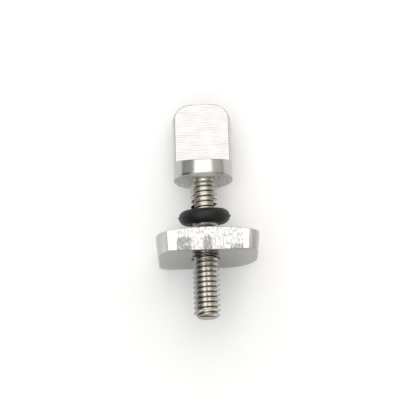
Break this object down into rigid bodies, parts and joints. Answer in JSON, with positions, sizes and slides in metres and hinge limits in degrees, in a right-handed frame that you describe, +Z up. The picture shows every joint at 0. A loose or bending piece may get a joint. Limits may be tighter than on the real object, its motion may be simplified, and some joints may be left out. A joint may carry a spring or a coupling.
{
  "type": "surfboard fin screw",
  "caption": "Thumb screw with a milled tab, a threaded stud, a rubber ring and a plate nut, used to clamp a surfboard fin in its box.",
  "frame": {"origin": "middle of the collar's underside, on the axis of the stud", "axes": "+Y along the floor from the stud's tip to the thumb tab, +Z up, away from the floor that the part lies on"},
  "size_m": [0.0158, 0.0335, 0.0117],
  "materials": {
    "screw_steel": "milled",
    "ring_rubber": "moulded",
    "plate_steel": "polished and scratched"
  },
  "bodies": {
    "thumb_screw": {"thumb_screw": "screw_steel"},
    "o_ring": {"o_ring": "ring_rubber"},
    "plate": {"plate": "plate_steel"}
  },
  "joints": [
    {"name": "plate_turn", "type": "hinge", "parent": "thumb_screw", "child": "o_ring", "pos_m": [0, 0, 0], "axis": [0, 0.992, -0.1263], "range_deg": [-3960, 360]},
    {"name": "plate_travel", "type": "slide", "parent": "o_ring", "child": "plate", "axis": [0, 0.992, -0.1263], "range_m": [-0.00874, 0.0008]}
  ],
  "couplings": [
    {"joint": "plate_travel", "follows": "plate_turn", "m_per_rad": 0.00012633}
  ]
}
